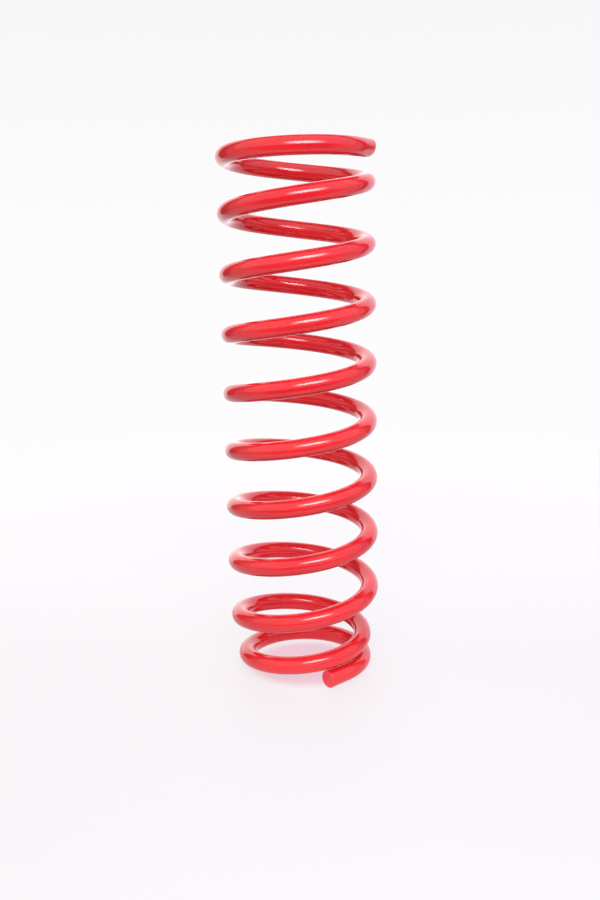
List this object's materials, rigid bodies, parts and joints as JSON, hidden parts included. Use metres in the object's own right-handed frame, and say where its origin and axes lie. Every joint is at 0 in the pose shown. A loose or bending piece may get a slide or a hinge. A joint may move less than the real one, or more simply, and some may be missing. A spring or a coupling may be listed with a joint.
{
  "type": "suspension coil spring",
  "caption": "Suspension coil spring of round red-painted steel wire: open right-hand coil, drawn-in closed lower end turn, flattened upper end.",
  "frame": {"origin": "on the coil axis at the height of the underside of the lower end turn", "axes": "+Z is the coil axis, upward from the drawn-in lower end; -Y is the side the picture was taken from, +X its right"},
  "size_m": [0.1126, 0.1126, 0.387],
  "materials": {
    "red_paint": "gloss paint"
  },
  "bodies": {
    "root": {"coil_spring": "red_paint"}
  },
  "joints": []
}
